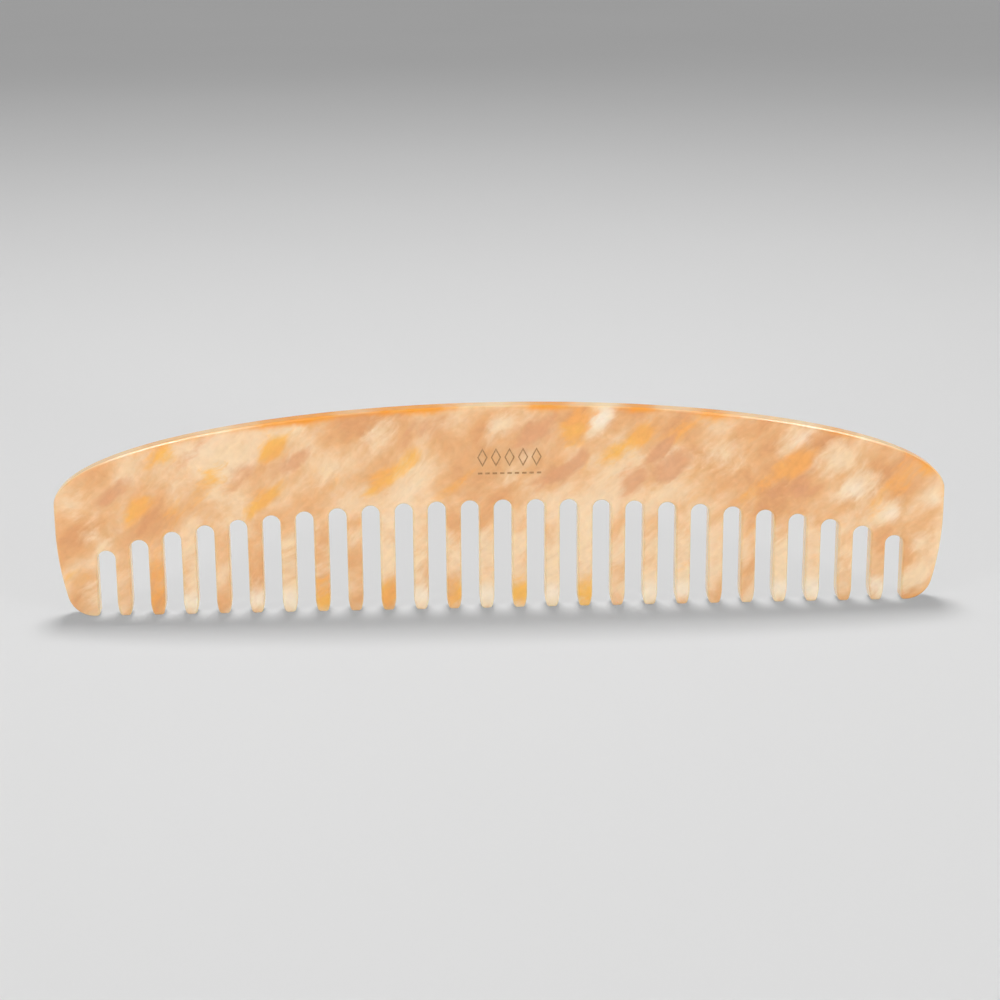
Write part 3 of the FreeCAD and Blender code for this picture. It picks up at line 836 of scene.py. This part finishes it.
# %% Acetate: lay the three colours over the cloud
amber_turns = add(tree, "ShaderNodeMapRange", {
    "Value": clouds, "From Min": 0.40, "From Max": 0.60})
whiter = add(tree, "ShaderNodeMapRange", {
    "Value": cream, "From Min": 0.8, "From Max": 1.3})
amber_tone = add(tree, "ShaderNodeMix", {
    "Factor": amber_turns.outputs[0], 6: linear("#F4BA57"), 7: linear("#EFAB5F")},
    data_type="RGBA").outputs[2]
cream_tone = add(tree, "ShaderNodeMix", {
    "Factor": whiter.outputs[0], 6: linear("#F1D5AF"), 7: linear("#F9EAD4")},
    data_type="RGBA").outputs[2]
rosy_tone = linear("#DCA074")

body = base.outputs[0]
body = lay_over(tree, body, cream_tone, cream_streaks, cream, bias=0.38, most=0.95)
body = lay_over(tree, body, amber_tone, amber_streaks, amber, bias=0.44, most=0.92)
body = lay_over(tree, body, rosy_tone, rosy_streaks, rosy, bias=0.44, most=0.80)
print("cream, amber and rosy laid over the cloud")

# %% [markdown]
# ## Fibres and fine grain
#
# Close up, no patch is one flat colour. Fibres drawn out when the chips were pressed
# lighten and darken it along the slant, and a grain a little over a millimetre across
# mottles it. Both change the brightness by only three or four parts in a hundred, so they
# are multiplied into the colour and not laid over it.

# %% Acetate: fibres and grain
GRAIN = 1 / 1.3               # one grain in 1.3 mm
hairs = add(tree, "ShaderNodeMapRange", {
    "Value": feathers, "From Min": 0.3, "From Max": 0.7, "To Min": 0.97, "To Max": 1.03})
fine = add(tree, "ShaderNodeTexNoise", {"Vector": torn, "Scale": GRAIN, "Detail": 3.0})
grain = add(tree, "ShaderNodeMapRange", {
    "Value": fine.outputs[0], "From Min": 0.3, "From Max": 0.7, "To Min": 0.965, "To Max": 1.035})
fineness = add(tree, "ShaderNodeMath", {0: hairs.outputs[0], 1: grain.outputs[0]},
               operation="MULTIPLY")
with_grain = add(tree, "ShaderNodeVectorMath", {0: body, "Scale": fineness.outputs[0]},
                 operation="SCALE").outputs[0]
print("grain once every", round(1 / GRAIN, 2), "mm")

# %% [markdown]
# ## Painted glow on the rims, and the amber edge
#
# Wherever the surface turns away from the flat faces, the eye looks into the sheet edge
# on, through about ten times as much plastic. On the real comb light also comes out
# there. Here that light is painted into the colour: rims and slot walls get a paler,
# warmer tone, a painted glow, and the crown's edge is amber where the attribute says so,
# partly the chips' own colour and partly painted glow. The normal says which way the
# surface looks. It belongs to the comb and not to the camera, so the tone stays in place
# from every side.

# %% Acetate: painted glow on rims and crown, and the crown's amber
FACE_ENDS = 0.95              # the normal's share along Y where a face turns into its rim
EDGE_BEGINS = 0.35            # and where the rim has turned into the edge
facing = add(tree, "ShaderNodeSeparateXYZ", {0: place.outputs["Normal"]})
flatness = add(tree, "ShaderNodeMath", {0: facing.outputs["Y"]}, operation="ABSOLUTE")
# painted glow: rims and slot walls get a paler, warmer tone, standing in for light that comes out
# of the edges
painted_rim_glow = add(tree, "ShaderNodeMapRange", {
    "Value": flatness.outputs[0], "From Min": FACE_ENDS, "From Max": EDGE_BEGINS,
    "To Max": 0.6}, interpolation_type="SMOOTHSTEP")
with_painted_rim_glow = add(tree, "ShaderNodeMix", {
    "Factor": painted_rim_glow.outputs[0], 6: with_grain, 7: linear("#FBDDAC")},
    data_type="RGBA").outputs[2]
# painted glow: the crown's edge turns amber where the laid in amber and glow and the amber
# streaks are strong
crown_amber_and_glow_total = add(tree, "ShaderNodeMath", {0: laid_node.outputs["Alpha"], 1: amber_streaks},
                  operation="ADD")
crown_amber_and_glow_share = add(tree, "ShaderNodeMapRange", {
    "Value": crown_amber_and_glow_total.outputs[0], "From Min": 0.60, "From Max": 1.40},
    interpolation_type="SMOOTHSTEP")
coloured = add(tree, "ShaderNodeMix", {
    "Factor": crown_amber_and_glow_share.outputs[0], 6: with_painted_rim_glow, 7: linear("#F2A23A")},
    data_type="RGBA").outputs[2]
print("crown and rims toned")

# %% [markdown]
# ## The polish
#
# The comb is buffed to a soft shine. Acetate's index is 1.46 to 1.50, and a hand polish
# leaves a roughness near 0.2, a little uneven from the wheel, with a faint swell in the
# faces. Light goes a little way in and comes out again, red the furthest, which softens
# the shading as it does in horn. Full glass-like transmission would be wrong: nothing can
# be seen through the sheet.

# %% Acetate: gloss, swell and light inside
SMEAR = 1 / 6                 # the wheel's smears are about 6 mm across
SWELL = 1 / 9                 # and its swells about 9 mm
smears = add(tree, "ShaderNodeTexNoise", {"Vector": in_mm, "Scale": SMEAR, "Detail": 3.0})
gloss = add(tree, "ShaderNodeMapRange", {
    "Value": smears.outputs[0], "From Min": 0.3, "From Max": 0.7,
    "To Min": 0.14, "To Max": 0.24})
swell = add(tree, "ShaderNodeTexNoise", {"Vector": in_mm, "Scale": SWELL, "Detail": 1.0})
wavy = add(tree, "ShaderNodeBump", {
    "Height": swell.outputs[0], "Strength": 0.25, "Distance": 0.10 * MM})
skin = add(tree, "ShaderNodeBsdfPrincipled", {
    "Base Color": coloured, "Roughness": gloss.outputs[0], "IOR": 1.48,
    "Subsurface Weight": 0.45, "Subsurface Radius": (1.0, 0.62, 0.34),
    "Subsurface Scale": 1.6 * MM, "Normal": wavy.outputs[0]})
add(tree, "ShaderNodeOutputMaterial", {"Surface": skin.outputs[0]})
comb.data.materials.append(acetate)
print("acetate has", len(tree.nodes), "nodes")

# %% [markdown]
# ## The foil
#
# The ornament is hot stamped: a heated die presses a thin brown pigment foil into the
# plastic. It is only a film, so the sheet's colour still shows through it a little, and it
# is duller than the polished face. The CAD node keeps its shape and only gets a finish:
# two browns that specks of wear mix, and a trace of metal from the pigment.

# %% Foil: matt brown pigment
SPECK = 1 / 0.4               # specks of wear about 0.4 mm across
foil_finish, tree = new_material("stamped_foil")
place = add(tree, "ShaderNodeTexCoord")
foil_mm = add(tree, "ShaderNodeVectorMath", {0: place.outputs["Object"], "Scale": 1 / MM},
              operation="SCALE").outputs[0]
specks = add(tree, "ShaderNodeTexNoise", {"Vector": foil_mm, "Scale": SPECK, "Detail": 3.0})
worn = add(tree, "ShaderNodeMapRange", {
    "Value": specks.outputs[0], "From Min": 0.35, "From Max": 0.7})
pigment = add(tree, "ShaderNodeMix", {
    "Factor": worn.outputs[0], 6: linear("#A97647"), 7: linear("#C08F60")}, data_type="RGBA")
film = add(tree, "ShaderNodeBsdfPrincipled", {
    "Base Color": pigment.outputs[2], "Roughness": 0.42, "Metallic": 0.15})
add(tree, "ShaderNodeOutputMaterial", {"Surface": film.outputs[0]})
foil.data.materials.clear()
foil.data.materials.append(foil_finish)
print("foil has", len(tree.nodes), "nodes")

# %% [markdown]
# ## The floor
#
# The comb stands on its tips on a wide sheet of pale grey board. A curved backdrop would
# hide the horizon, but the board reaches far enough for it to lie in a soft grey fade. Its
# two greys are nearly the same, which keeps it from looking like a computed plane.

# %% The floor
FLOOR_HALF = 6.0              # half of the board's side, in metres
FLOOR_BACK = 3.0              # how far its middle is moved back
MOTTLE = 1 / 0.25             # the board's greys change every 0.25 m
floor_mesh = bpy.data.meshes.new("floor")
sheet = bmesh.new()
bmesh.ops.create_grid(sheet, x_segments=24, y_segments=24, size=FLOOR_HALF)
sheet.to_mesh(floor_mesh)
sheet.free()
floor = bpy.data.objects.new("floor", floor_mesh)
floor.location = (0, FLOOR_BACK, 0)
bpy.context.scene.collection.objects.link(floor)

board, tree = new_material("matt_board")
place = add(tree, "ShaderNodeTexCoord")
mottle = add(tree, "ShaderNodeTexNoise", {
    "Vector": place.outputs["Object"], "Scale": MOTTLE, "Detail": 2.0})
tone = add(tree, "ShaderNodeMapRange", {
    "Value": mottle.outputs[0], "From Min": 0.3, "From Max": 0.7})
grey = add(tree, "ShaderNodeMix", {
    "Factor": tone.outputs[0], 6: linear("#E4E4E4"), 7: linear("#E6E6E6")}, data_type="RGBA")
paper = add(tree, "ShaderNodeBsdfPrincipled", {
    "Base Color": grey.outputs[2], "Roughness": 0.85, "Specular IOR Level": 0.2})
add(tree, "ShaderNodeOutputMaterial", {"Surface": paper.outputs[0]})
floor.data.materials.append(board)
print("floor", [round(v, 1) for v in floor.dimensions], "m")

# %% [markdown]
# ## The lights over and before the comb
#
# One soft bank hangs above and behind, which throws the short shadow in front of the tips.
# It leaves the face dark, so two small low lights stand in front, left and right. They
# are so low that they light the face and the slot walls but hardly the floor between the
# teeth. Two cards over the front light nothing themselves. They are only mirrored in the
# polish, as a thin line of shine along the ends of the crown.

# %% Bank, low lights and cards
COMB_MIDDLE = (0, 0, 0.02)


def soft_light(name, place, target, width, depth, power):
    """A rectangular softbox that looks at a point."""
    data = bpy.data.lights.new(name, "AREA")
    data.shape = "RECTANGLE"
    data.size, data.size_y, data.energy = width, depth, power
    light = bpy.data.objects.new(name, data)
    light.location = place
    light.rotation_euler = (Vector(target) - Vector(place)).to_track_quat("-Z", "Y").to_euler()
    bpy.context.scene.collection.objects.link(light)
    return light


over_bank = soft_light("over_bank", (0, 0.34, 1.1), target=(0, -0.12, 0),
                       width=0.34, depth=0.42, power=2.75)
over_bank.data.spread = math.radians(120)
over_bank.visible_glossy = False
for name, x in (("low_left", -0.85), ("low_right", 0.85)):
    low_light = soft_light(name, (x, -0.85, 0.14), COMB_MIDDLE, width=0.22, depth=0.22, power=5.0)
    low_light.visible_glossy = False
for name, x in (("left_card", -0.50), ("right_card", 0.54)):
    card = soft_light(name, (x, -0.32, 0.95), COMB_MIDDLE, width=0.5, depth=0.34, power=14.0)
    card.visible_diffuse = False
print(len(bpy.data.lights), "soft lights over and before the comb")

# %% [markdown]
# ## Light from behind, and the room
#
# From behind, the comb would be seen against its own dark side. A fill light there would
# throw a second shadow forward, which a single object in a studio doesn't have. Light
# linking solves it: this fill reaches the comb and its foil and nothing else. The pale
# room gives the rest of the light, evenly from all round.

# %% Rear fill and room
rear_fill = soft_light("rear_fill", (0.3, 1.1, 0.5), COMB_MIDDLE, width=0.4, depth=0.4, power=5.0)
only_the_comb = bpy.data.collections.new("only_the_comb")
for piece in (comb, foil):
    only_the_comb.objects.link(piece)
rear_fill.light_linking.receiver_collection = only_the_comb
rear_fill.visible_glossy = False
rear_fill.visible_camera = False

ROOM_STRENGTH = 0.59
world = bpy.data.worlds.new("studio_air")
bpy.context.scene.world = world
world.use_nodes = True
room = world.node_tree.nodes["Background"]
room.inputs["Color"].default_value = linear("#DADADA")
room.inputs["Strength"].default_value = ROOM_STRENGTH
bpy.context.scene.view_settings.view_transform = "Standard"
print(len(bpy.data.lights), "soft lights and a pale room")

# %% [markdown]
# ## The camera
#
# A long lens, about 83 mm, stands 47 cm in front and looks down by 16 degrees, so a thin
# strip of the crown's edge shows above the face. Its matrix is built from three directions
# and not from Euler angles, because the small roll about the line of sight is then one
# plain turn.

# %% The camera
AIM = Vector((-0.5, 0, 22.7)) * MM
DISTANCE = 471 * MM
LOOK_DOWN = math.radians(16.2)
TURN = math.radians(2.6)      # the camera stands a little to the left
ROLL = math.radians(-0.37)
LENS = 82.8                   # focal length in millimetres, on a sensor 36 mm wide
SENSOR = 36.0
NEAREST = 0.01                # what is nearer than this, in metres, isn't drawn

forward = Vector((math.sin(TURN) * math.cos(LOOK_DOWN),
                  math.cos(TURN) * math.cos(LOOK_DOWN), -math.sin(LOOK_DOWN)))
right = Vector((math.cos(TURN), -math.sin(TURN), 0))
up = right.cross(forward)
rolled_right = right * math.cos(ROLL) + up * math.sin(ROLL)
rolled_up = up * math.cos(ROLL) - right * math.sin(ROLL)

camera_data = bpy.data.cameras.new("camera")
camera_data.sensor_width = SENSOR
camera_data.lens = LENS
camera_data.clip_start = NEAREST
camera = bpy.data.objects.new("camera", camera_data)
turned = Matrix((rolled_right, rolled_up, -forward)).transposed().to_4x4()
camera.matrix_world = Matrix.Translation(AIM - forward * DISTANCE) @ turned
bpy.context.scene.collection.objects.link(camera)
bpy.context.scene.camera = camera
print("camera at", [round(v, 3) for v in camera.matrix_world.translation])
